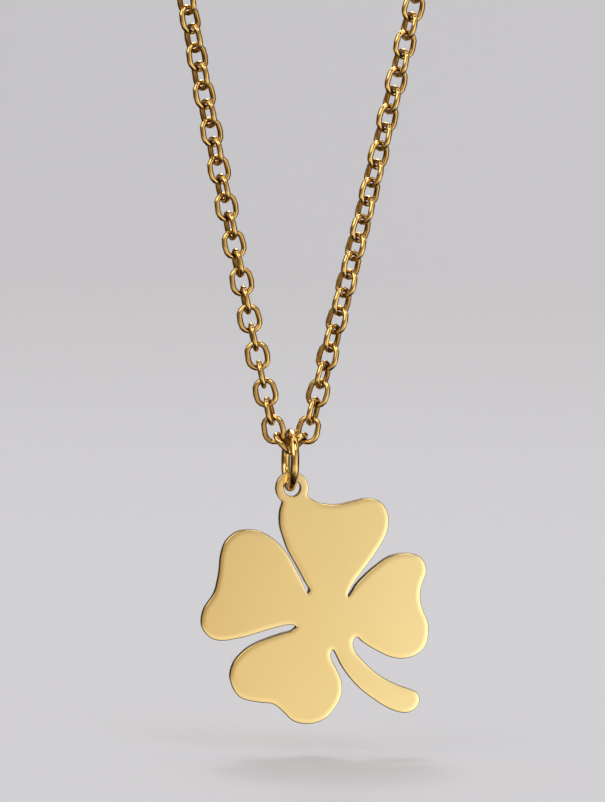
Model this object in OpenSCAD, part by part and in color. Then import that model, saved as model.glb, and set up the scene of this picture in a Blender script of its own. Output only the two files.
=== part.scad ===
// Four-leaf clover pendant on a fine oval cable chain.
// The whole loop hangs in the XZ plane. +Z is up, the polished front of the clover faces -Y,
// and the origin is the underside of the clasp, where a peg or the nape of a neck carries the loop.

/* [Clover plate] */
// Thickness of the sheet that the clover is cut from
plate_t = 1.3; // [1.1:0.05:1.5]
// Outer radius of the lug on the top leaf
lug_r = 1.65; // [1.6:0.05:1.7]
// Radius of the hole through the lug
lug_hole_r = 0.84; // [0.84:0.01:0.86]
// Turn of the plate about the bottom of its ring, positive lowers the left side
plate_turn = 1.4; // [-5:0.1:5]
// Hole centre to the right of the ring's wire
hole_dx = 0.2; // [0:0.05:0.2]
// Hole centre below the ring's wire
hole_dz = 0.05; // [0:0.05:0.1]
// Straight steps in each span of the outline
outline_steps = 4; // [2:1:5]

/* [Jump ring] */
// Outside diameter of the jump ring
ring_od = 6.36; // [6.36:0.02:6.5]
// Diameter of the jump ring's wire
ring_wire = 0.89; // [0.83:0.01:0.89]
// Drop from the crossing of the two lowest links to the ring's centre
ring_drop = 1.65; // [1.63:0.01:1.65]

/* [Chain links] */
// Outside length of a link
link_len = 3.08; // [3.01:0.01:3.11]
// Outside width of a link
link_w = 2.5; // [2.45:0.05:2.5]
// Diameter of the link's wire
link_wire = 0.54; // [0.5:0.01:0.54]
// Clearance between two links pulled straight
link_gap = 0.11; // [0.11:0.01:0.13]
// Links of one half of the loop, above its lowest link
links_per_side = 116; // [100:2:116]

/* [Lowest links] */
// Sideways distance of each lowest link from the middle of the loop
vee_x = 0.65; // [0.64:0.01:0.65]
// Depth of each lowest link, left one to the front and right one to the back
vee_y = 0.425; // [0.415:0.005:0.43]
// Lean of the lowest links from upright
vee_lean = 48; // [48:1:49]
// Roll of the lowest links about their own length
vee_roll = 67; // [66:1:68]

/* [Hanging loop] */
// Sideways distance of the second link of each half
start_x = 1.8; // [1.8:0.01:1.82]
// Height of the second link above the crossing of the lowest links
start_z = 1.4; // [1.39:0.01:1.41]
// Depth of the second link, left one to the front and right one to the back
start_y = 0.23; // [0.22:0.01:0.24]
// Length of chain that weighs as much as the sideways pull in it
sag_a = 62; // [50:1:70]
// Length of chain that weighs as much as half of what hangs on it
sag_s = 250; // [230:5:270]
// Roll of the second link
start_roll = -25; // [-26:1:-25]
// Extra turn that the lowest few links make about their own length
quick_turn = 22; // [0:1:22]
// Links over which half of that extra turn is made
quick_links = 4; // [4:1:8]

/* [Clasp] */
// Half the distance between the two links that the clasp joins
clasp_reach = 6; // [6:0.1:7]
// Diameter of the wire of the clasp's hook
hook_wire = 0.9; // [0.8:0.05:0.9]
// Radius of the hook's round nose, to the middle of its wire
nose_r = 1.7; // [1.6:0.1:1.9]
// Diameter of the wire of the clasp's eye
eye_wire = 0.8; // [0.7:0.05:0.8]
// Radius of the clasp's eye, to the middle of its wire
eye_r = 0.95; // [0.95:0.01:1]
// Radius of the clasp's round body
body_r = 1.15; // [1:0.05:1.3]

/* [Hidden] */
round_fn = 48;
wire_fn = 24;
gold = [0.90, 0.72, 0.36];
pale_gold = [0.93, 0.79, 0.47];

ring_r = (ring_od - ring_wire) / 2;
pitch = link_len - 2 * link_wire - link_gap;
link_bend_r = (link_w - link_wire) / 2;
link_straight = link_len - link_w;
side_len = (links_per_side - 1) * pitch;

// The outline of the clover, seen from the front, from the centre of the lug's hole,
// clockwise from the right of the lug. Columns: x to the right, y up.
top_leaf = [
    [1.45, -0.3], [1.53, -0.68], [1.7, -0.95], [2, -1.15], [2.7, -1.5], [3.75, -1.7], [4.8, -1.7],
    [6, -1.45], [7.85, -1.15], [8.6, -1.3],
    [9.2, -1.7], [9.65, -2.4], [9.85, -3.5], [9.6, -4.7], [8.55, -6.5], [7.3, -8.2], [6, -9.95],
    [5.6, -10.7], [5.65, -11.1], [5.85, -10.85]];
right_leaf = [
    [6.45, -9.9], [7.5, -8.8], [8.6, -7.9], [10, -7], [11.5, -6.75], [12.45, -6.85], [13.2, -7.25],
    [13.7, -8.4], [13.2, -10.05], [13.05, -11.2], [13.3, -12.4], [13.85, -13.7], [13.9, -15.1],
    [13.6, -16.15], [12.9, -16.9], [11.5, -17.4], [10, -17.2], [8.8, -16.65], [7, -15.5],
    [6.55, -15.1], [6.2, -15.35], [6.15, -15.85]];
stem = [
    [6.35, -16.5], [7, -17.3], [8.65, -18.85], [10.9, -20.1], [12.1, -20.55], [12.8, -20.9], [13.05, -21.5],
    [12.9, -22.1], [12.45, -22.65], [11.65, -22.95], [10.8, -22.8], [9.6, -22.3], [8.3, -21.45],
    [6.95, -20.4], [5.8, -19.15], [4.95, -17.9], [4.5, -17], [4.05, -16.3], [3.85, -16.7], [3.95, -17.3]];
bottom_leaf = [
    [4.5, -18.35], [4.95, -19.45], [5, -20.7], [4.15, -22.45], [3.45, -23.2], [2.2, -23.75], [0.95, -23.75],
    [0.15, -23.5], [-1.15, -22.3], [-1.85, -21.75], [-3.35, -21.5], [-4.4, -21.3], [-5.25, -21],
    [-6.2, -19.55], [-6.35, -18.65], [-6.15, -17.8], [-4.85, -16.2], [-3.7, -15.5], [-2.55, -15.05],
    [-1.15, -14.6], [0.15, -14.2], [0.4, -13.95], [-0.3, -13.7]];
left_leaf = [
    [-1.15, -13.85], [-2.2, -14.1], [-4.85, -14.85], [-6.15, -15.1], [-7.25, -15.2], [-8.2, -14.95],
    [-9.2, -13.65], [-9.05, -12.2], [-7.9, -10.35], [-7.45, -8.5], [-7.15, -6.25], [-6.8, -5.35],
    [-6.15, -4.65], [-5.35, -4.2], [-4.4, -4.1], [-3.35, -4.25], [-2.35, -4.75], [-0.8, -6.2],
    [0.2, -7.85], [1.05, -9.65], [1.4, -10.4], [1.55, -10.65], [1.75, -10.3]];
lug_side = [
    [1.4, -9.65], [0.45, -7.85], [-0.55, -6], [-0.9, -5], [-1.2, -4.05], [-1.3, -3.1], [-1.2, -2.1],
    [-1.05, -1.65], [-0.9, -1.2]];
clover_points = concat(top_leaf, right_leaf, stem, bottom_leaf, left_leaf, lug_side);

// A smooth curve through the points, straight only from the last one back to the first.
function slope(p, q) = (q - p) / norm(q - p);
function tangent(pts, i) =
    i == 0 ? slope(pts[0], pts[1]) :
    i == len(pts) - 1 ? slope(pts[i - 1], pts[i]) :
    let (before = norm(pts[i] - pts[i - 1]), after = norm(pts[i + 1] - pts[i]))
    (slope(pts[i - 1], pts[i]) * after + slope(pts[i], pts[i + 1]) * before) / (before + after);
function hermite(p, q, m, n, t) =
    (2 * t ^ 3 - 3 * t ^ 2 + 1) * p + (t ^ 3 - 2 * t ^ 2 + t) * m
    + (3 * t ^ 2 - 2 * t ^ 3) * q + (t ^ 3 - t ^ 2) * n;
function smooth(pts, steps) = [
    for (i = [0 : len(pts) - 2])
        let (span = norm(pts[i + 1] - pts[i]))
        for (k = [0 : steps - 1])
            hermite(pts[i], pts[i + 1], span * tangent(pts, i), span * tangent(pts, i + 1), k / steps),
    pts[len(pts) - 1]];

// The hanging curve of one half: out and up under its own weight, then a round arc to the clasp.
// asinh() written out, with the angles in degrees as everywhere.
function area_sinh(v) = ln(v + sqrt(v * v + 1));
function sag_x(s) = start_x + sag_a * (area_sinh((sag_s + s) / sag_a) - area_sinh(sag_s / sag_a));
function sag_z(s) = sqrt(sag_a ^ 2 + (sag_s + s) ^ 2) - sqrt(sag_a ^ 2 + sag_s ^ 2);
function sag_lean(s) = atan(sag_a / (sag_s + s));
function arc_r(s) = (sag_x(s) - clasp_reach) / cos(sag_lean(s));
function arc_len(s) = arc_r(s) * (90 + sag_lean(s)) * PI / 180;
// The length of the hanging stretch at which stretch and arc together are as long as the side.
function find_sag_len(low, high, tries) =
    let (mid = (low + high) / 2)
    tries == 0 ? mid :
    mid + arc_len(mid) > side_len ? find_sag_len(low, mid, tries - 1) : find_sag_len(mid, high, tries - 1);

sag_len = find_sag_len(0, side_len, 40);
bow_r = arc_r(sag_len);
bow_start = -sag_lean(sag_len);
bow_z = sag_z(sag_len) - bow_r * sin(bow_start);
clasp_z = nose_r + hook_wire / 2;
// A wire of the clasp sits inside the bend of a link, this far beyond the bend's centre.
hook_seat = link_bend_r - link_wire / 2 - link_gap - hook_wire / 2;
eye_seat = link_bend_r - link_wire / 2 - link_gap - eye_wire / 2;
nose_x = clasp_reach - link_straight / 2 - hook_seat;
eye_x = -(clasp_reach - link_straight / 2 - eye_seat - eye_r);
body_x = eye_x + eye_r + body_r;
vee_z = clasp_z - (bow_z + bow_r + start_z);
ring_z = vee_z - ring_drop;
hinge_z = ring_z - ring_r;

// Place and lean of the middle of a link at length s along one half, as [x, z, lean].
function on_side(s) =
    s < sag_len ? [-sag_x(s), sag_z(s), -sag_lean(s)] :
    let (turn = bow_start + (s - sag_len) / bow_r * 180 / PI)
    [-(clasp_reach + bow_r * cos(turn)), bow_z + bow_r * sin(turn), turn];

module half_bend(bend_r, wire) {
    rotate_extrude(angle = 180, $fn = round_fn)
        translate([bend_r, 0]) circle(d = wire, $fn = wire_fn);
}

// A closed oval of round wire: two half bends and two straights, its length along Z, its width along X.
module oval(bend_r, straight, wire) {
    for (end = [0, 180])
        rotate([0, end, 0]) translate([0, 0, straight / 2]) rotate([90, 0, 0]) half_bend(bend_r, wire);
    for (side = [-1, 1])
        translate([side * bend_r, 0, -straight / 2]) cylinder(d = wire, h = straight, $fn = wire_fn);
}

module link() {
    oval(link_bend_r, link_straight, link_wire);
}

// Roll of link i about its own length. A half turns fast over its lowest links and then slowly on its
// way up, and its last link stands edge-on to the clasp. The sides, 1 and -1, turn opposite ways.
function link_roll(i, side) =
    let (quick = side * quick_turn, whole = side * 180 - start_roll)
    start_roll + 90 * (i - 1) + quick * (1 - 0.5 ^ ((i - 1) / quick_links))
    + (whole - quick) * (i - 1) / (links_per_side - 1);

module lowest_link() {
    translate([-vee_x, -vee_y, vee_z]) rotate([0, -vee_lean, 0]) rotate([0, 0, vee_roll]) link();
}

// One half of the chain as it stands on the left, from its lowest link to the clasp.
module half_chain(side) {
    lowest_link();
    for (i = [1 : links_per_side]) {
        s = (i - 1) * pitch;
        place = on_side(s);
        translate([place[0], -start_y * (1 - s / side_len), vee_z + start_z + place[1]])
            rotate([0, place[2], 0]) rotate([0, 0, link_roll(i, side)]) link();
    }
}

module chain_left() {
    color(gold) half_chain(1);
}

// The right half is turned half way round the middle of the loop.
module chain_right() {
    color(gold) rotate([0, 0, 180]) half_chain(-1);
}

module jump_ring() {
    color(gold) translate([0, 0, ring_z]) rotate([0, 90, 0])
        rotate_extrude($fn = round_fn) translate([ring_r, 0]) circle(d = ring_wire, $fn = wire_fn);
}

// The clover is cut from one flat sheet with its lug.
module clover() {
    color(pale_gold)
        translate([0, plate_t / 2, hinge_z]) rotate([0, -plate_turn, 0]) translate([hole_dx, 0, -hole_dz])
            rotate([90, 0, 0])
                difference() {
                    union() {
                        linear_extrude(plate_t) polygon(smooth(clover_points, outline_steps));
                        cylinder(r = lug_r, h = plate_t, $fn = round_fn);
                    }
                    translate([0, 0, -plate_t / 2]) cylinder(r = lug_hole_r, h = 2 * plate_t, $fn = round_fn);
                }
}

// The clasp: an eye for one end of the chain, a round body, and a closed hook for the other end.
module clasp() {
    hook_len = nose_x - body_x;
    color(gold) translate([0, 0, clasp_z]) {
        translate([nose_x - hook_len / 2, 0, 0]) rotate([0, 90, 0])
            oval(nose_r, hook_len - 2 * nose_r, hook_wire);
        translate([body_x, 0, 0]) sphere(r = body_r, $fn = round_fn);
        translate([eye_x, 0, 0]) rotate([90, 0, 0])
            rotate_extrude($fn = round_fn) translate([eye_r, 0]) circle(d = eye_wire, $fn = wire_fn);
    }
}

clover();
jump_ring();
chain_left();
chain_right();
clasp();
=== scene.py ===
import math
import bpy
import bmesh
from mathutils import Matrix, Vector
from mathutils.geometry import delaunay_2d_cdt


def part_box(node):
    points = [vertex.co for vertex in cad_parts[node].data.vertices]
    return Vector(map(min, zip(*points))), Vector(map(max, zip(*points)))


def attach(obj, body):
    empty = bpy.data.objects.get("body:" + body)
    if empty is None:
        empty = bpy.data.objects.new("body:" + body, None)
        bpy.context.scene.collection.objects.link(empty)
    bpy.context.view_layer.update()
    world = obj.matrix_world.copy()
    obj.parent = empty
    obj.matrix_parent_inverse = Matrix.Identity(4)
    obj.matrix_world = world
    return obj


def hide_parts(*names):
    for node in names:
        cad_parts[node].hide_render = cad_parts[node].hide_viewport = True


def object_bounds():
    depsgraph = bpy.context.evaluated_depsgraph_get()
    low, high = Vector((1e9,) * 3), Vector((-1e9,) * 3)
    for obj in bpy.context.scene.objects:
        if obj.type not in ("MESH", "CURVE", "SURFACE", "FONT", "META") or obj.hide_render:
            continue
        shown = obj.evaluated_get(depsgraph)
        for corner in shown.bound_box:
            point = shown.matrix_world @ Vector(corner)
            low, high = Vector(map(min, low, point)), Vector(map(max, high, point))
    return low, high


# A four-leaf clover pendant on a fine cable chain, polished gold all over.
# Blender works in metres in the CAD's frame. Sizes below are in mm, and mm turns them into metres.
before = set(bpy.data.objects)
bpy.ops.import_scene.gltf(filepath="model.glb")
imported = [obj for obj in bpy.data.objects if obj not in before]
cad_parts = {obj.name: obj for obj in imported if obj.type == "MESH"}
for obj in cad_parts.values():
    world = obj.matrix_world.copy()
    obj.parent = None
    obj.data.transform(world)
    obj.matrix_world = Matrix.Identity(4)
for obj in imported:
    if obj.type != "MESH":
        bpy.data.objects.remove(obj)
cadLow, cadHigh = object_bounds()
mm = 0.001


def linearColour(hexCode):
    # sRGB hex to the linear values that shaders take
    values = [int(hexCode[i:i + 2], 16) / 255 for i in (1, 3, 5)]
    return [v / 12.92 if v <= 0.04045 else ((v + 0.055) / 1.055) ** 2.4 for v in values] + [1.0]


def addNode(tree, kind, settings=None, inputs=None):
    # adds a node, sets its properties, and sets or links its inputs
    node = tree.nodes.new(kind)
    for name, value in (settings or {}).items():
        setattr(node, name, value)
    for key, value in (inputs or {}).items():
        socket = node.inputs[key]
        if isinstance(value, bpy.types.NodeSocket):
            tree.links.new(value, socket)
        else:
            socket.default_value = value
    return node


def addStops(ramp, stops, interpolation="EASE"):
    # fills a colour ramp from (position, hex colour, strength) rows
    ramp.interpolation = interpolation
    while len(ramp.elements) < len(stops):
        ramp.elements.new(1.0)
    for element, (position, hexCode, strength) in zip(ramp.elements, stops):
        element.position = position
        element.color = [c * strength for c in linearColour(hexCode)[:3]] + [1.0]


def meshPiece(name, mesh, material):
    # an object at the origin that shows the mesh, smooth shaded, in one material
    mesh.materials.clear()
    mesh.materials.append(material)
    for polygon in mesh.polygons:
        polygon.use_smooth = True
    piece = bpy.data.objects.new(name, mesh)
    bpy.context.scene.collection.objects.link(piece)
    return piece


def mergedCopy(node):
    # a CAD node's mesh is loose triangles, so this joins up a copy of it, where points all but meet
    bm = bmesh.new()
    bm.from_mesh(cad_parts[node].data)
    bmesh.ops.remove_doubles(bm, verts=bm.verts, dist=0.002 * mm)
    return bm


def facesOutwards(mesh):
    # for a closed mesh in one piece
    bm = bmesh.new()
    bm.from_mesh(mesh)
    bmesh.ops.recalc_face_normals(bm, faces=bm.faces)
    bm.to_mesh(mesh)
    bm.free()


# Camera: the photo's view, from a little to the left of the pendant and a little above it.
view = {
    "azimuth": -10.0,      # degrees, from the front towards the left
    "elevation": 3.0,
    "roll": 1.3,           # the photo is turned slightly, so that up leans to the right
    "distance": 400.0,     # mm from the jump ring
    "pixelsPerMm": 10.0,   # at the jump ring
    "ringPixel": (290.3, 460.0),
    "frameSize": (605, 802),
}
ringLow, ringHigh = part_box("jump_ring")
ringCentre = (ringLow + ringHigh) / 2


def buildCamera():
    az, el = math.radians(view["azimuth"]), math.radians(view["elevation"])
    backward = Vector((math.sin(az) * math.cos(el), -math.cos(az) * math.cos(el), math.sin(el)))
    turn = backward.to_track_quat("Z", "Y").to_matrix() @ Matrix.Rotation(math.radians(view["roll"]), 3, "Z")
    across = (view["ringPixel"][0] - view["frameSize"][0] / 2) / view["pixelsPerMm"] * mm
    upwards = (view["frameSize"][1] / 2 - view["ringPixel"][1]) / view["pixelsPerMm"] * mm
    place = ringCentre - across * turn.col[0] - upwards * turn.col[1] + backward * view["distance"] * mm
    data = bpy.data.cameras.new("photoCamera")
    camera = bpy.data.objects.new("photoCamera", data)
    bpy.context.scene.collection.objects.link(camera)
    camera.matrix_world = Matrix.Translation(place) @ turn.to_4x4()
    data.sensor_width = 36.0    # mm
    data.lens = data.sensor_width * view["pixelsPerMm"] * view["distance"] / view["frameSize"][1]
    data.clip_start, data.clip_end = 0.01, 20.0    # metres
    bpy.context.scene.camera = camera
    print("camera: %.1f mm lens" % data.lens)


buildCamera()

# PVD gold on stainless steel is a metal mirror. Lapping and tumbling leave its skin never quite flat
# and its gloss a little uneven, which softens what it mirrors. The two finishes differ in how they
# were polished. On the sheet's cut wall and inside the links the gold is painted browner: painted shade.
sheetFinish = {
    "pale": "#F6E0A3", "deep": "#F0D595",       # painted light: deep on the left and paler to the right, where more light falls
    "paintedLightFrom": -9.0, "paintedLightTo": 14.0,         # mm across the clover
    "patch": 7.0, "patchBump": 0.010,           # mm: soft unevenness left by the lapping wheel
    "line": 0.09, "lineStretch": 20.0,          # mm: fine polishing lines, drawn coarse enough to show
    "lineAngle": 52.0, "lineBump": 0.0004,      # degrees that they lean, and mm
    "roughness": (0.15, 0.20),                  # least and most
    # painted shade: the sheet's wall and the tight corner above it are painted dark brown
    "shadeColour": "#5A3E1A", "shadeRoughness": 0.25,
}
wireFinish = {
    "pale": "#E2C27E", "deep": "#C8A05A",       # painted shade: the wire's gold is painted a shade deeper than the sheet's
    "paintedLightFrom": -34.0, "paintedLightTo": 34.0,        # mm across the loop
    "patch": 1.3, "patchBump": 0.0016,          # mm: the dents of tumbling
    "line": 0.16, "lineStretch": 1.0,           # and its fine marks, which run no way in particular
    "lineAngle": 52.0, "lineBump": 0.0001,
    "roughness": (0.07, 0.11),
    # painted shade: inside the links the wire is painted browner, where the links shade each other
    "shadeColour": "#94692F", "shadeRoughness": 0.2,
}


def goldMaterial(name, look):
    paintedLightShare = 0.75                 # how much of the change of colour is the painted light across the piece, the rest being patches
    noiseLow, noiseHigh = 0.3, 0.7    # nearly all of a noise lies between these
    material = bpy.data.materials.new(name)
    material.use_nodes = True
    tree = material.node_tree
    tree.nodes.clear()
    place = addNode(tree, "ShaderNodeTexCoord").outputs["Object"]
    patches = addNode(tree, "ShaderNodeTexNoise", None, {
        "Vector": place, "Scale": 1 / (look["patch"] * mm), "Detail": 2.0, "Roughness": 0.5})
    across = addNode(tree, "ShaderNodeSeparateXYZ", None, {0: place}).outputs["X"]
    # painted light: the gold is painted deeper on the left and paler to the right, as if lit more brightly
    # from the right
    paintedLight = addNode(tree, "ShaderNodeMapRange", None, {
        "Value": across, "From Min": look["paintedLightFrom"] * mm, "From Max": look["paintedLightTo"] * mm,
        "To Min": 0.0, "To Max": paintedLightShare})
    blend = addNode(tree, "ShaderNodeMath", {"operation": "MULTIPLY_ADD"}, {
        0: patches.outputs["Fac"], 1: 1 - paintedLightShare, 2: paintedLight.outputs["Result"]})
    colour = addNode(tree, "ShaderNodeValToRGB", None, {"Fac": blend.outputs[0]})
    addStops(colour.color_ramp, ((0.0, look["deep"], 1.0), (1.0, look["pale"], 1.0)), "LINEAR")
    along = addNode(tree, "ShaderNodeMapping", None, {
        "Vector": place, "Rotation": (0.0, math.radians(look["lineAngle"]), 0.0),
        "Scale": (1.0, 1.0, 1 / look["lineStretch"])})
    lines = addNode(tree, "ShaderNodeTexNoise", None, {
        "Vector": along.outputs["Vector"], "Scale": 1 / (look["line"] * mm), "Detail": 1.0})
    gloss = addNode(tree, "ShaderNodeMapRange", None, {
        "Value": lines.outputs["Fac"], "From Min": noiseLow, "From Max": noiseHigh,
        "To Min": look["roughness"][0], "To Max": look["roughness"][1]})
    # the meshes say where shade is painted: 1 on the sheet's wall and inside the links, 0 elsewhere
    # a Mix node's colours are its inputs 6 and 7 and output 2, its plain numbers inputs 2 and 3 and output 0
    # cut is the painted shade's share here, which turns the colour to the shade's brown
    cut = addNode(tree, "ShaderNodeAttribute", {"attribute_name": "paintedShade"}).outputs["Fac"]
    skin = addNode(tree, "ShaderNodeMix", {"data_type": "RGBA"}, {
        "Factor": cut, 6: colour.outputs["Color"], 7: linearColour(look["shadeColour"])})
    roughness = addNode(tree, "ShaderNodeMix", {"data_type": "FLOAT"}, {
        "Factor": cut, 2: gloss.outputs["Result"], 3: look["shadeRoughness"]})
    dents = addNode(tree, "ShaderNodeBump", None, {
        "Height": patches.outputs["Fac"], "Strength": 1.0, "Distance": look["patchBump"] * mm})
    scratches = addNode(tree, "ShaderNodeBump", None, {
        "Height": lines.outputs["Fac"], "Strength": 1.0, "Distance": look["lineBump"] * mm,
        "Normal": dents.outputs["Normal"]})
    shader = addNode(tree, "ShaderNodeBsdfPrincipled", None, {
        "Base Color": skin.outputs[2], "Metallic": 1.0, "Roughness": roughness.outputs[0],
        "Normal": scratches.outputs["Normal"]})
    addNode(tree, "ShaderNodeOutputMaterial", None, {"Surface": shader.outputs["BSDF"]})
    return material


sheetGold = goldMaterial("lappedPvdGoldSheet", sheetFinish)
wireGold = goldMaterial("tumbledPvdGoldWire", wireFinish)

# The clover: the outline of the CAD's sheet, its faces slightly domed. Polishing has rolled them over
# gently towards the edge, and then comes a tight corner down to the cut wall.
plate = {
    "frontRim": (0.50, 12.0),    # mm in from the corner, and the lean in degrees that it reaches
    "backRim": (0.35, 12.0),
    "holeRim": (0.12, 12.0),
    "corner": 0.11,              # mm
    "rimSteps": 6, "cornerSteps": 5,
    "roomShare": 0.55,           # of the distance to the middle of the sheet's narrow places
    "dome": 0.25, "domeReach": 12.0,    # mm that the faces fall off, and how far from the middle
    "spacing": 0.15,             # mm between two points of the outline
    "faceCosine": 0.999,         # a CAD face that looks this much forwards or back is a flat face
    "cornerCosine": 0.8,         # an outline that turns more than this stays sharp there
    "blunting": 2,               # passes that round off the outline's sharp corners
    "cornerFan": 2,              # points to each side over which the walls fan out at a corner
    "roomSpread": 6,             # points to each side over which the room for the roll is evened out
    "grid": 0.8,                 # mm between two points inside the faces
    "gridClear": 0.35,           # of that, kept free along the border
    "shadeSpan": (24.0, 54.0),  # degrees of lean where the painted shade starts and where it is full
}


def faceOutlines(bm, facing):
    # the closed outlines of the faces that look along facing, the longest first
    flat = [f for f in bm.faces if f.normal.dot(facing) > plate["faceCosine"]]
    inside, follow = set(flat), {}
    for face in flat:    # in the mesh's own order, so that every run starts an outline at the same point
        for loop in face.loops:
            if not any(other in inside for other in loop.edge.link_faces if other is not face):
                follow[loop.vert] = loop.link_loop_next.vert
    outlines = []
    while follow:
        start = next(iter(follow))
        outline, vert = [start.co.copy()], follow.pop(start)
        while vert is not start:
            outline.append(vert.co.copy())
            vert = follow.pop(vert)
        outlines.append([Vector((p.x, p.z)) for p in outline])
    return sorted(outlines, key=len, reverse=True)


def evenOutline(points, spacing):
    # a smooth closed curve through the points in even steps, which keeps sharp corners
    def tangent(before, after):
        if before.normalized().dot(after.normalized()) < plate["cornerCosine"]:
            return None
        return (before.normalized() * after.length + after.normalized() * before.length) / (
            before.length + after.length)

    dense, count = [], len(points)
    for i in range(count):
        p0, p1, p2, p3 = (points[(i + k) % count] for k in (-1, 0, 1, 2))
        chord = p2 - p1
        start = tangent(p1 - p0, chord) or chord.normalized()
        end = tangent(chord, p3 - p2) or chord.normalized()
        steps = max(1, round(chord.length / spacing))
        for t in (k / steps for k in range(steps)):
            dense.append((2 * t ** 3 - 3 * t ** 2 + 1) * p1 + (t ** 3 - 2 * t ** 2 + t) * start * chord.length
                         + (3 * t ** 2 - 2 * t ** 3) * p2 + (t ** 3 - t ** 2) * end * chord.length)
    return dense


def outwardNormals(outline):
    # unit normals away from the sheet, evened out over a few points so that corners fan out
    across, count, fan = [], len(outline), plate["cornerFan"]
    for i in range(count):
        along = (outline[(i + 1) % count] - outline[i - 1]).normalized()
        across.append(Vector((along.y, -along.x)))
    return [sum((across[(i + k) % count] for k in range(-fan, fan + 1)), Vector((0, 0))).normalized()
            for i in range(count)]


def edgeProfile(rim):
    # from the face to the wall: how far in, how far down and how much lean, in mm and radians
    width, lean = rim[0], math.radians(rim[1])
    corner, steps = plate["corner"], plate["rimSteps"]
    inside, rows = corner * (1 - math.sin(lean)), []
    for t in (k / steps for k in range(steps + 1)):
        rows.append((inside + width * (1 - t), -width * math.log(math.cos(lean * t)) / lean, lean * t))
    down = rows[-1][1]
    for k in range(1, plate["cornerSteps"] + 1):
        a = lean + (math.pi / 2 - lean) * k / plate["cornerSteps"]
        rows.append((corner * (1 - math.sin(a)), down + corner * (math.cos(lean) - math.cos(a)), a))
    return rows


def roomInside(outline, normals, everyPoint, most):
    # how far the roll may reach in at each point, less where the sheet is narrow
    rooms, share, reach = [], plate["roomShare"], plate["roomSpread"]
    for point, normal in zip(outline, normals):
        room = most
        for other in everyPoint:
            gap = other - point
            depth = -gap.dot(normal)
            if depth > 1e-7:    # metres: what lies further inside the sheet, across from this point
                room = min(room, share * gap.length_squared / depth)
        rooms.append(room)
    count = len(rooms)
    lowest = [min(rooms[(i + k) % count] for k in range(-reach, reach + 1)) for i in range(count)]
    return [sum(lowest[(i + k) % count] for k in range(-reach, reach + 1)) / (2 * reach + 1)
            for i in range(count)]


def insideOutlines(point, outlines):
    # inside is where a line off to the right crosses the outlines an odd number of times
    crossings = 0
    for outline in outlines:
        for i, q in enumerate(outline):
            p = outline[i - 1]
            if (p.y > point.y) != (q.y > point.y) and \
                    point.x < (q.x - p.x) * (point.y - p.y) / (q.y - p.y) + p.x:
                crossings += 1
    return crossings % 2 == 1


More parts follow.
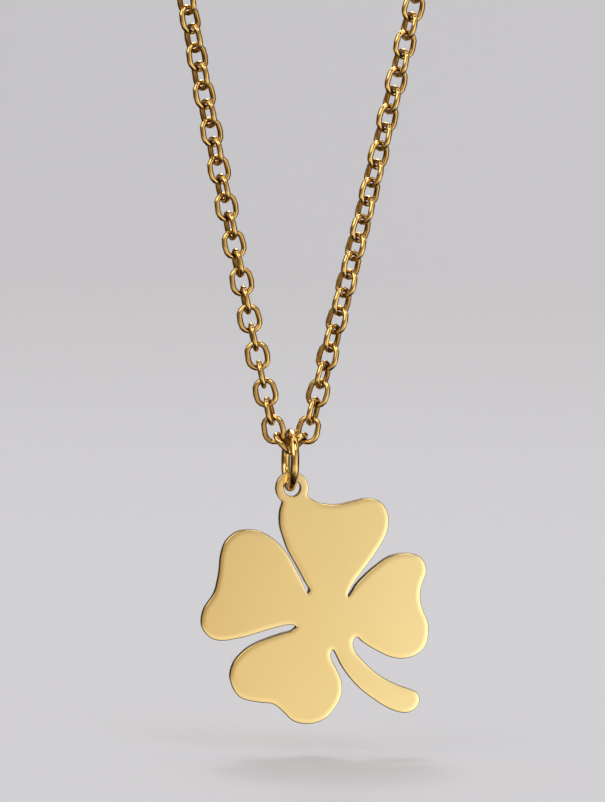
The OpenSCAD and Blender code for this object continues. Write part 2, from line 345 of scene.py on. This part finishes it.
def buildClover():
    bm = mergedCopy("clover")
    outlines = [evenOutline(o, plate["spacing"] * mm) for o in faceOutlines(bm, Vector((0, -1, 0)))]
    for _ in range(plate["blunting"]):
        rim = outlines[0]
        outlines[0] = [(rim[i - 1] + 2 * p + rim[(i + 1) % len(rim)]) / 4 for i, p in enumerate(rim)]
    depths = [v.co.y for v in bm.verts]
    bm.free()
    everyPoint = [p for o in outlines for p in o]
    middle = Vector(((min(p.x for p in everyPoint) + max(p.x for p in everyPoint)) / 2,
                     (min(p.y for p in everyPoint) + max(p.y for p in everyPoint)) / 2))
    domeScale = plate["dome"] * mm / (plate["domeReach"] * mm) ** 2
    shadeStarts, shadeFull = plate["shadeSpan"]
    points, normals, shadeMarks, faces = [], [], [], []
    rims = {-1: [], 1: []}    # the loops where the roll ends and the face starts: front and back

    def addPoint(flat, depth, side, lean, outward):
        off = flat - middle
        points.append((flat.x, depth - side * domeScale * off.length_squared, flat.y))
        tilt = 2 * domeScale * off * math.cos(lean)
        normals.append(Vector((outward.x * math.sin(lean) + tilt.x, side * math.cos(lean),
                               outward.y * math.sin(lean) + tilt.y)).normalized())
        # painted shade: 0 on the faces and the roll, rising over the tight corner to 1 on the wall
        shadeMarks.append(min(1.0, max(0.0, (math.degrees(lean) - shadeStarts) / (shadeFull - shadeStarts))))
        return len(points) - 1

    for index, outline in enumerate(outlines):
        outward = outwardNormals(outline)
        count = len(outline)
        rows = []    # loops of points from the front face over the wall to the back face
        for side, rim in ((-1, plate["frontRim"]), (1, plate["backRim"])):
            profile = edgeProfile(plate["holeRim"] if index else rim)
            whole = profile[0][0]
            rooms = roomInside(outline, outward, everyPoint, whole * mm)
            face = min(depths) if side < 0 else max(depths)
            loops = []
            for inset, down, lean in profile:
                loops.append([addPoint(outline[i] - outward[i] * rooms[i] * inset / whole,
                                       face - side * rooms[i] * down / whole, side, lean, outward[i])
                              for i in range(count)])
            rims[side].append(loops[0])
            rows += loops if side < 0 else loops[::-1]
        for upper, lower in zip(rows, rows[1:]):
            faces += [(upper[i], upper[(i + 1) % count], lower[(i + 1) % count], lower[i])
                      for i in range(count)]

    # each face is filled with triangles between its rim, the hole's rim and a grid of points
    for side, loops in rims.items():
        ids = [i for loop in loops for i in loop]
        borders = [[Vector((points[i][0], points[i][2])) for i in loop] for loop in loops]
        edges, start = [], 0
        for loop in loops:
            edges += [(start + k, start + (k + 1) % len(loop)) for k in range(len(loop))]
            start += len(loop)
        flat = [p for border in borders for p in border]
        low = Vector((min(p.x for p in flat), min(p.y for p in flat)))
        high = Vector((max(p.x for p in flat), max(p.y for p in flat)))
        step, clear = plate["grid"] * mm, plate["gridClear"] * plate["grid"] * mm
        face = min(depths) if side < 0 else max(depths)
        for row in range(int((high.y - low.y) / step) + 1):
            for column in range(int((high.x - low.x) / step) + 1):
                spot = low + Vector(((column + row % 2 / 2) * step, row * step))
                if insideOutlines(spot, borders) and all((spot - p).length > clear for p in flat[:start]):
                    ids.append(addPoint(spot, face, side, 0.0, Vector((0, 0))))
                    flat.append(spot)
        _, _, triangles, source, _, _ = delaunay_2d_cdt(flat, edges, [], 0, 1e-9)
        for triangle in triangles:
            corners = [source[i][0] for i in triangle]
            centre = sum((flat[i] for i in corners), Vector((0, 0))) / 3
            if insideOutlines(centre, borders):
                faces.append(tuple(ids[i] for i in corners))

    mesh = bpy.data.meshes.new("cloverSheet")
    mesh.from_pydata(points, [], faces)
    mesh.attributes.new("paintedShade", "FLOAT", "POINT")
    mesh.attributes["paintedShade"].data.foreach_set("value", shadeMarks)
    facesOutwards(mesh)
    piece = meshPiece("cloverSheet", mesh, sheetGold)
    mesh.normals_split_custom_set_from_vertices(normals)
    return piece


clover = buildClover()
print("clover: %d faces" % len(clover.data.polygons))

# The chain. Its links stand where the CAD's links stand: two interlocked lowest links inside the jump
# ring, then on each side a hanging curve and a round bow up to the clasp. Lengths in mm, angles in degrees.
chain = {
    "linkLength": 3.08, "linkWidth": 2.5, "wire": 0.54, "gap": 0.11, "linksPerSide": 116,
    # the lowest link, above the middle of the jump ring, and the next one, above the lowest
    "lowestX": 0.65, "lowestY": 0.425, "lowestLean": 48, "lowestRoll": 67, "ringDrop": 1.65,
    "startX": 1.8, "startZ": 1.4, "startY": 0.23, "startRoll": -25,
    "quickTurn": 22, "quickLinks": 4,    # the fast turn, and over how many links half of it is done
    "sagA": 62, "sagS": 250,    # the hanging curve's radius at its bottom, and how far up it the chain starts
    "claspReach": 6,            # from the middle of the clasp to where the bow ends
    "bendSteps": 16, "wireSteps": 8,
    "sideBulge": 1.09,      # the wire is this much thicker along the sides than round the bends
    "solder": 1.03,         # the wire is this much thicker where each link is soldered
    "rollPlay": 1.5,        # degrees that a link may be turned either way, away from the jump ring
    "settledLinks": 4,      # the lowest ones, which have no such play
    # from the wire's crown, 0, to the inside of the link, -1: where the painted shade starts and where it is
    # full
    "shadeSpan": (-0.1, -0.85),
    "seed": 7,
}


def linkPlaces(side):
    # centre, lean and roll of every link as it stands on the left, from the lowest one up
    # the halves, 1 and -1, turn opposite ways, fast over the lowest links and then slowly
    c = chain
    pitch = c["linkLength"] - 2 * c["wire"] - c["gap"]
    sideLength = (c["linksPerSide"] - 1) * pitch
    a, s0 = c["sagA"], c["sagS"]

    def sagX(s):
        return c["startX"] + a * (math.asinh((s0 + s) / a) - math.asinh(s0 / a))

    def sagZ(s):
        return math.hypot(a, s0 + s) - math.hypot(a, s0)

    def sagLean(s):
        return math.atan(a / (s0 + s))

    def bowRadius(s):
        return (sagX(s) - c["claspReach"]) / math.cos(sagLean(s))

    # the curve ends and the bow begins where both together are as long as the chain, found by halving
    low, high = 0.0, sideLength
    for _ in range(60):
        half = (low + high) / 2
        if half + bowRadius(half) * (math.pi / 2 + sagLean(half)) > sideLength:
            high = half
        else:
            low = half
    sagLength, radius, bowStart = low, bowRadius(low), -sagLean(low)
    bowZ = sagZ(sagLength) - radius * math.sin(bowStart)
    lowestZ = ringCentre.z / mm + c["ringDrop"]
    quick, whole = side * c["quickTurn"], side * 180 - c["startRoll"]
    places = [(Vector((-c["lowestX"], -c["lowestY"], lowestZ)), -math.radians(c["lowestLean"]),
               math.radians(c["lowestRoll"]))]
    for i in range(1, c["linksPerSide"] + 1):
        s = (i - 1) * pitch
        if s < sagLength:
            x, z, lean = -sagX(s), sagZ(s), -sagLean(s)
        else:
            lean = bowStart + (s - sagLength) / radius
            x, z = -(c["claspReach"] + radius * math.cos(lean)), bowZ + radius * math.sin(lean)
        roll = (c["startRoll"] + 90 * (i - 1) + quick * (1 - 0.5 ** ((i - 1) / c["quickLinks"]))
                + (whole - quick) * (i - 1) / (c["linksPerSide"] - 1))
        places.append((Vector((x, -c["startY"] * (1 - s / sideLength), lowestZ + c["startZ"] + z)),
                       lean, math.radians(roll)))
    return places


def linkTree():
    # one oval link of round wire on every point, turned as the point's attribute says
    tree = bpy.data.node_groups.new("ovalCableLinks", "GeometryNodeTree")
    tree.interface.new_socket("Geometry", in_out="INPUT", socket_type="NodeSocketGeometry")
    tree.interface.new_socket("Geometry", in_out="OUTPUT", socket_type="NodeSocketGeometry")
    for name, kind in (
            ("Link length", "Float"), ("Link width", "Float"), ("Wire", "Float"), ("Side bulge", "Float"),
            ("Bend steps", "Int"), ("Wire steps", "Int"), ("Solder", "Float"), ("Roll play", "Float"),
            ("Seed", "Int"), ("Finish", "Material")):
        tree.interface.new_socket(name, in_out="INPUT", socket_type="NodeSocket" + kind)
    given = addNode(tree, "NodeGroupInput").outputs
    place = addNode(tree, "ShaderNodeSeparateXYZ", None, {
        0: addNode(tree, "GeometryNodeInputPosition").outputs[0]}).outputs
    radius = addNode(tree, "GeometryNodeInputRadius").outputs[0]

    # every row is a sum: its name, the operation and two inputs, which are numbers, names of the tree's
    # inputs or names of earlier sums
    sums = {socket.name: socket for socket in given}
    sums.update({"x": place["X"], "y": place["Y"], "radius": radius,
                 "index": addNode(tree, "GeometryNodeInputIndex").outputs[0]})
    for name, operation, a, b in (
            ("bendAcross", "SUBTRACT", "Link width", "Wire"), ("bend", "MULTIPLY", "bendAcross", 0.5),
            ("straight", "SUBTRACT", "Link length", "Link width"),
            ("halfStraight", "MULTIPLY", "straight", 0.5), ("halfWire", "MULTIPLY", "Wire", 0.5),
            # a circle pulled apart at its middle is an oval with two straight sides
            ("level", "SNAP", "y", 1e-6), ("end", "SIGN", "level", 0.0),
            ("apart", "MULTIPLY", "end", "halfStraight"),
            # the wire grows from the bends to the middle of the sides
            ("sideways", "DIVIDE", "x", "bend"), ("sideShare", "MULTIPLY", "sideways", "sideways"),
            ("bulge", "SUBTRACT", "Side bulge", 1.0), ("bulgeHere", "MULTIPLY", "sideShare", "bulge"),
            ("thickness", "ADD", "bulgeHere", 1.0),
            # and is a little thicker at its first point, where it is soldered
            ("joint", "COMPARE", "index", 0.0), ("lump", "SUBTRACT", "Solder", 1.0),
            ("lumpHere", "MULTIPLY", "joint", "lump"), ("soldered", "ADD", "lumpHere", "radius"),
            # how far a point lies from the wire's crown: -1 at the inside of the link, 1 at its outside
            ("fromMiddle", "ABSOLUTE", "y", 0.0), ("past", "SUBTRACT", "fromMiddle", "halfStraight"),
            ("beyond", "MAXIMUM", "past", 0.0), ("beyondSquared", "MULTIPLY", "beyond", "beyond"),
            ("xSquared", "MULTIPLY", "x", "x"), ("reachSquared", "ADD", "xSquared", "beyondSquared"),
            ("reach", "SQRT", "reachSquared", 0.0), ("offCrown", "SUBTRACT", "reach", "bend"),
            ("outwards", "DIVIDE", "offCrown", "halfWire"),
            ("leastPlay", "MULTIPLY", "Roll play", -1.0)):
        sums[name] = addNode(tree, "ShaderNodeMath", {"operation": operation}, {
            0: sums.get(a, a), 1: sums.get(b, b)}).outputs[0]

    circle = addNode(tree, "GeometryNodeCurvePrimitiveCircle", None, {
        "Resolution": given["Bend steps"], "Radius": sums["bend"]})
    drawn = addNode(tree, "GeometryNodeSetCurveRadius", None, {
        "Curve": circle.outputs["Curve"], "Radius": sums["thickness"]})
    oval = addNode(tree, "GeometryNodeSetPosition", None, {
        "Geometry": drawn.outputs["Curve"],
        "Offset": addNode(tree, "ShaderNodeCombineXYZ", None, {"Y": sums["apart"]}).outputs[0]})
    thick = addNode(tree, "GeometryNodeSetCurveRadius", None, {
        "Curve": oval.outputs["Geometry"], "Radius": sums["soldered"]})
    profile = addNode(tree, "GeometryNodeCurvePrimitiveCircle", None, {
        "Resolution": given["Wire steps"], "Radius": sums["halfWire"]})
    tube = addNode(tree, "GeometryNodeCurveToMesh", None, {
        "Curve": thick.outputs["Curve"], "Profile Curve": profile.outputs["Curve"], "Scale": radius})
    # painted shade on the inside of each link, where the next links shade it
    shadeStarts, shadeFull = chain["shadeSpan"]
    inner = addNode(tree, "ShaderNodeMapRange", {"interpolation_type": "SMOOTHSTEP"}, {
        "Value": sums["outwards"], "From Min": shadeStarts, "From Max": shadeFull,
        "To Min": 0.0, "To Max": 1.0})
    marked = addNode(tree, "GeometryNodeStoreNamedAttribute", {"data_type": "FLOAT", "domain": "POINT"}, {
        "Geometry": tube.outputs["Mesh"], "Name": "paintedShade", "Value": inner.outputs["Result"]})
    upright = addNode(tree, "GeometryNodeTransform", None, {
        "Geometry": marked.outputs["Geometry"], "Rotation": (math.pi / 2, 0.0, 0.0)})

    stored = addNode(tree, "GeometryNodeInputNamedAttribute", {"data_type": "FLOAT_VECTOR"}, {"Name": "turn"})
    turned = addNode(tree, "FunctionNodeEulerToRotation", None, {0: stored.outputs[0]})
    loose = addNode(tree, "GeometryNodeInputNamedAttribute", {"data_type": "FLOAT"}, {"Name": "loose"})
    play = addNode(tree, "FunctionNodeRandomValue", {"data_type": "FLOAT"}, {
        "Min": sums["leastPlay"], "Max": given["Roll play"], "Seed": given["Seed"]})
    playHere = addNode(tree, "ShaderNodeMath", {"operation": "MULTIPLY"}, {
        0: play.outputs[1], 1: loose.outputs[0]})
    wobble = addNode(tree, "FunctionNodeAxisAngleToRotation", None, {
        "Axis": (0.0, 0.0, 1.0), "Angle": playHere.outputs[0]})
    rolled = addNode(tree, "FunctionNodeRotateRotation", {"rotation_space": "LOCAL"}, {
        "Rotation": turned.outputs[0], "Rotate By": wobble.outputs[0]})
    copies = addNode(tree, "GeometryNodeInstanceOnPoints", None, {
        "Points": given["Geometry"], "Instance": upright.outputs["Geometry"], "Rotation": rolled.outputs[0]})
    solid = addNode(tree, "GeometryNodeRealizeInstances", None, {"Geometry": copies.outputs["Instances"]})
    finish = addNode(tree, "GeometryNodeSetMaterial", None, {
        "Geometry": solid.outputs["Geometry"], "Material": given["Finish"]})
    addNode(tree, "NodeGroupOutput", None, {0: finish.outputs["Geometry"]})
    return tree


def buildChainHalf(name, tree, side):
    places = linkPlaces(side)
    halfTurn = Matrix.Rotation(0.0 if side > 0 else math.pi, 3, "Z")
    mesh = bpy.data.meshes.new(name + "Points")
    mesh.from_pydata([(halfTurn @ centre) * mm for centre, _, _ in places], [], [])
    mesh.attributes.new("turn", "FLOAT_VECTOR", "POINT")
    mesh.attributes.new("loose", "FLOAT", "POINT")
    turns, loose = mesh.attributes["turn"], mesh.attributes["loose"]
    for i, (_, lean, roll) in enumerate(places):
        turn = halfTurn @ Matrix.Rotation(lean, 3, "Y") @ Matrix.Rotation(roll, 3, "Z")
        turns.data[i].vector = turn.to_euler("XYZ")
        loose.data[i].value = 0.0 if i < chain["settledLinks"] else 1.0
    holder = bpy.data.objects.new(name + "Points", mesh)
    bpy.context.scene.collection.objects.link(holder)
    modifier = holder.modifiers.new("links", "NODES")
    modifier.node_group = tree
    values = {"Link length": chain["linkLength"] * mm, "Link width": chain["linkWidth"] * mm,
              "Wire": chain["wire"] * mm, "Side bulge": chain["sideBulge"], "Bend steps": chain["bendSteps"],
              "Wire steps": chain["wireSteps"], "Solder": chain["solder"],
              "Roll play": math.radians(chain["rollPlay"]), "Seed": chain["seed"], "Finish": wireGold}
    for item in tree.interface.items_tree:
        if item.name in values:
            modifier[item.identifier] = values[item.name]
    depsgraph = bpy.context.evaluated_depsgraph_get()
    made = bpy.data.meshes.new_from_object(holder.evaluated_get(depsgraph))
    made.name = name
    bpy.data.objects.remove(holder)
    return meshPiece(name, made, wireGold)


chainTree = linkTree()
chainLeft = buildChainHalf("chainLeftLinks", chainTree, 1)
chainRight = buildChainHalf("chainRightLinks", chainTree, -1)
print("chain: %d faces a side" % len(chainLeft.data.polygons))

# The jump ring: round wire bent into a ring, its cut pushed shut and turned to the back.
jumpRing = {
    "outside": 6.36, "wire": 0.89, "around": 96, "wireSteps": 28,
    "cutAt": 128.0, "cutWidth": 0.035, "cutDepth": 0.05,    # degrees from the bottom, then mm
    # the groove that the wire dips into at the cut: half widths from its middle, and shares of its depth
    "groove": ((-1.8, 0.0), (-1.0, 0.35), (-0.4, 1.0), (0.4, 1.0), (1.0, 0.35), (1.8, 0.0)),
}


def buildJumpRing():
    j = jumpRing
    radius, wire = (j["outside"] - j["wire"]) / 2, j["wire"] / 2
    cut, halfCut, step = math.radians(j["cutAt"]), j["cutWidth"] / 2 / radius, 2 * math.pi / j["around"]
    stations = [(cut + halfCut * along, wire - j["cutDepth"] * dip) for along, dip in j["groove"]]
    stations += [(cut + step * k, wire) for k in range(1, j["around"])]
    points, faces, n = [], [], j["wireSteps"]
    for angle, r in stations:
        for k in range(n):
            b = 2 * math.pi * k / n
            out = radius + r * math.cos(b)
            points.append(ringCentre + mm * Vector((
                r * math.sin(b), out * math.sin(angle), -out * math.cos(angle))))
    for i in range(len(stations)):
        a, b = i * n, (i + 1) % len(stations) * n
        faces += [(a + k, a + (k + 1) % n, b + (k + 1) % n, b + k) for k in range(n)]
    mesh = bpy.data.meshes.new("jumpRingWire")
    mesh.from_pydata(points, [], faces)
    facesOutwards(mesh)
    return meshPiece("jumpRingWire", mesh, wireGold)


ring = buildJumpRing()
print("jump ring: %d faces" % len(ring.data.polygons))

# The clasp: a copy of the CAD's, remeshed so that its joins run together as in a casting.
claspCasting = {
    "grain": 0.09,                              # mm between points
    "tumbling": 12, "tumblingStrength": 0.5,    # passes that smooth it, and how much each one does
}


def buildClasp():
    bm = mergedCopy("clasp")
    mesh = bpy.data.meshes.new("claspBlank")
    bm.to_mesh(mesh)
    bm.free()
    holder = bpy.data.objects.new("claspBlank", mesh)
    bpy.context.scene.collection.objects.link(holder)
    remesh = holder.modifiers.new("cast", "REMESH")
    remesh.mode, remesh.voxel_size = "VOXEL", claspCasting["grain"] * mm
    smooth = holder.modifiers.new("tumble", "SMOOTH")
    smooth.factor, smooth.iterations = claspCasting["tumblingStrength"], claspCasting["tumbling"]
    depsgraph = bpy.context.evaluated_depsgraph_get()
    made = bpy.data.meshes.new_from_object(holder.evaluated_get(depsgraph))
    made.name = "claspCasting"
    bpy.data.objects.remove(holder)
    return meshPiece("claspCasting", made, wireGold)


clasp = buildClasp()
print("clasp: %d faces" % len(clasp.data.polygons))

# The studio: a pale round cove, a light tent that the metal mirrors, and two soft lamps.
studio = {
    "floorBelow": 3.0,                                  # mm under the clover
    "floorRadius": 1.9, "curve": 1.2, "wallTop": 3.0,   # metres
    "floorSteps": 6, "curveSteps": 12, "around": 96,
    "coveColour": "#AAAAAE", "coveGlow": 0.50,
    # the azimuth and height that each lamp shines from, its strength and its width, angles in degrees
    "frontLamp": (25.0, 50.0, 0.6, 24.0),
    "backLamp": (178.0, 48.0, 0.5, 12.0),
}


def buildCove():
    # a round floor that curves up into a wall all the way round, so every view has the same plain ground
    low = cadLow.z - studio["floorBelow"] * mm
    r, c, around = studio["floorRadius"], studio["curve"], studio["around"]
    flatSteps, curveSteps = studio["floorSteps"], studio["curveSteps"]
    profile = [(r * k / flatSteps, low) for k in range(1, flatSteps + 1)]
    profile += [(r + c * math.sin(a), low + c * (1 - math.cos(a)))
                for a in (math.pi / 2 * k / curveSteps for k in range(1, curveSteps + 1))]
    profile.append((r + c, low + studio["wallTop"]))
    points = [(0.0, 0.0, low)]
    for radius, z in profile:
        for angle in (2 * math.pi * k / around for k in range(around)):
            points.append((radius * math.cos(angle), radius * math.sin(angle), z))
    faces = [(0, 1 + k, 1 + (k + 1) % around) for k in range(around)]
    for i in range(len(profile) - 1):
        a, b = 1 + i * around, 1 + (i + 1) * around
        faces += [(a + k, b + k, b + (k + 1) % around, a + (k + 1) % around) for k in range(around)]
    mesh = bpy.data.meshes.new("paleCove")
    mesh.from_pydata(points, [], faces)
    material = bpy.data.materials.new("mattPaintedCove")
    material.use_nodes = True
    tree = material.node_tree
    tree.nodes.clear()
    colour = linearColour(studio["coveColour"])
    shader = addNode(tree, "ShaderNodeBsdfPrincipled", None, {
        "Base Color": colour, "Roughness": 0.9, "Specular IOR Level": 0.1,
        "Emission Color": colour, "Emission Strength": studio["coveGlow"]})
    addNode(tree, "ShaderNodeOutputMaterial", None, {"Surface": shader.outputs["BSDF"]})
    cove = meshPiece("paleCove", mesh, material)
    cove.visible_glossy = False    # the gold mirrors the light tent instead


def lampDirection(name):
    azimuth, height = (math.radians(v) for v in studio[name][:2])
    return Vector((math.sin(azimuth) * math.cos(height), -math.cos(azimuth) * math.cos(height),
                   math.sin(height)))


# What the metal mirrors. Each light is one band, or two multiplied. A band is laid over an angle, and its
# stops are degrees, a colour and a strength. Azimuth runs to the right from straight in front, height up
# from the horizon, overhead back from the top, and offLamp away from the back lamp's own direction.
tent = {
    # bright right of the lens, less so left of it, dark at the sides, and dimmer cloth behind with a gap
    "cloths": (
        ("azimuth", (
            (-180, "#FFF4E4", 0.55), (-171, "#FFE8C8", 0.12), (-152, "#FFE8C8", 0.08),
            (-135, "#FFF4E4", 0.40), (-118, "#FFE8C8", 0.06), (-90, "#FFE8C8", 0.05),
            (-72, "#FFE8C8", 0.10), (-56, "#FFE8CC", 0.36), (-40, "#FFE8CC", 0.42),
            (-21, "#FFE0B8", 0.42), (-12, "#FFE8CC", 0.60), (0, "#FFF0DC", 0.78), (10, "#FFF6EA", 0.90),
            (20, "#FFFCF6", 1.03), (31, "#FFFFFA", 1.40), (42, "#FFFFFA", 1.65), (52, "#FFFFFA", 1.50),
            (66, "#FFF4E4", 0.24), (82, "#FFE8C8", 0.05), (118, "#FFE8C8", 0.06), (135, "#FFF4E4", 0.40),
            (155, "#FFF4E4", 0.70), (170, "#FFF4E4", 0.72), (180, "#FFF4E4", 0.55))),
        ("height", (
            (-90, "#FFFFFF", 0.03), (-60, "#FFFFFF", 0.08), (-42, "#FFFFFF", 0.45), (-28, "#FFFFFF", 1.16),
            (-12, "#FFFFFF", 1.08), (-3, "#FFFFFF", 0.99), (3, "#FFFFFF", 0.91), (10, "#FFFFFF", 0.84),
            (24, "#FFF8EE", 0.66), (38, "#FFF0DC", 0.30), (52, "#FFE8C8", 0.07), (90, "#FFE8C8", 0.03)))),
    # a card below the lens
    "card": (
        ("azimuth", (
            (-80, "#FFF4E4", 0.0), (-50, "#FFF4E4", 0.85), (20, "#FFFAF0", 1.1), (70, "#FFFFFA", 1.4),
            (95, "#FFFFFA", 0.0))),
        ("height", (
            (-46, "#FFFFFF", 0.0), (-32, "#FFFFFF", 1.0), (-18, "#FFFFFF", 1.0), (-6, "#FFFFFF", 0.0)))),
    # a window high up on the left
    "window": (
        ("azimuth", (
            (-84, "#FFFAF0", 0.0), (-66, "#FFFAF0", 3.0), (-30, "#FFFAF0", 3.0), (-14, "#FFFAF0", 0.0))),
        ("height", (
            (12, "#FFFFFF", 0.0), (26, "#FFFFFF", 1.0), (52, "#FFFFFF", 1.0), (66, "#FFFFFF", 0.0)))),
    # a strip light overhead, and a round one behind, which puts a white dot on top of every bend
    "strip": (
        ("overhead", (
            (-16, "#FFF8EC", 0.0), (-4, "#FFF8EC", 1.5), (14, "#FFF8EC", 1.5), (26, "#FFF8EC", 0.0))),),
    "roundLight": (
        ("offLamp", ((15, "#FFFFFF", 3.5), (24, "#FFFFFF", 0.0))),),
}


def buildLightTent():
    # the world's light by direction, which is the brightest of the tent's lights there
    world = bpy.data.worlds.new("lightTent")
    bpy.context.scene.world = world
    world.use_nodes = True
    tree = world.node_tree
    tree.nodes.clear()
    direction = addNode(tree, "ShaderNodeTexCoord").outputs["Generated"]
    x, y, z = addNode(tree, "ShaderNodeSeparateXYZ", None, {0: direction}).outputs
    ahead = addNode(tree, "ShaderNodeMath", {"operation": "MULTIPLY"}, {0: y, 1: -1.0}).outputs[0]
    lampwards = addNode(tree, "ShaderNodeVectorMath", {"operation": "DOT_PRODUCT"}, {
        0: direction, 1: lampDirection("backLamp")}).outputs["Value"]
    angles = {}
    for name, operation, a, b, low, high in (
            ("azimuth", "ARCTAN2", x, ahead, -180, 180), ("height", "ARCSINE", z, 0.0, -90, 90),
            ("overhead", "ARCTAN2", y, z, -180, 180), ("offLamp", "ARCCOSINE", lampwards, 0.0, 0, 180)):
        angle = addNode(tree, "ShaderNodeMath", {"operation": operation}, {0: a, 1: b}).outputs[0]
        angles[name] = (angle, low, high)

    light = None
    for bands in tent.values():
        glow = None
        for over, stops in bands:
            angle, low, high = angles[over]
            share = addNode(tree, "ShaderNodeMapRange", None, {
                "Value": angle, "From Min": math.radians(low), "From Max": math.radians(high)})
            ramp = addNode(tree, "ShaderNodeValToRGB", None, {"Fac": share.outputs["Result"]})
            addStops(ramp.color_ramp, [((at - low) / (high - low), hexCode, strength)
                                       for at, hexCode, strength in stops])
            band = ramp.outputs["Color"]
            glow = band if glow is None else addNode(
                tree, "ShaderNodeMix", {"data_type": "RGBA", "blend_type": "MULTIPLY"}, {
                    "Factor": 1.0, 6: glow, 7: band}).outputs[2]
        light = glow if light is None else addNode(
            tree, "ShaderNodeMix", {"data_type": "RGBA", "blend_type": "LIGHTEN"}, {
                "Factor": 1.0, 6: light, 7: glow}).outputs[2]
    background = addNode(tree, "ShaderNodeBackground", None, {"Color": light, "Strength": 1.0})
    addNode(tree, "ShaderNodeOutputWorld", None, {"Surface": background.outputs[0]})


def buildLamp(name):
    data = bpy.data.lights.new(name, "SUN")
    data.energy, data.angle = studio[name][2], math.radians(studio[name][3])
    lamp = bpy.data.objects.new(name, data)
    bpy.context.scene.collection.objects.link(lamp)
    lamp.rotation_euler = lampDirection(name).to_track_quat("Z", "Y").to_euler()


buildCove()
buildLightTent()
buildLamp("frontLamp")
buildLamp("backLamp")
bpy.context.scene.view_settings.view_transform = "Standard"
print("studio: cove, light tent and two lamps")

# What each piece rides on, which CAD node it stands for, and the finish it takes.
for piece, body, node, slot in (
        (clover, "clover", "clover", "polished_gold"),
        (ring, "ring", "jump_ring", "gold_wire"),
        (chainLeft, "chain", "chain_left", "gold_wire"),
        (chainRight, "chain", "chain_right", "gold_wire"),
        (clasp, "chain", "clasp", "gold_wire")):
    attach(piece, body)
    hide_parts(node)
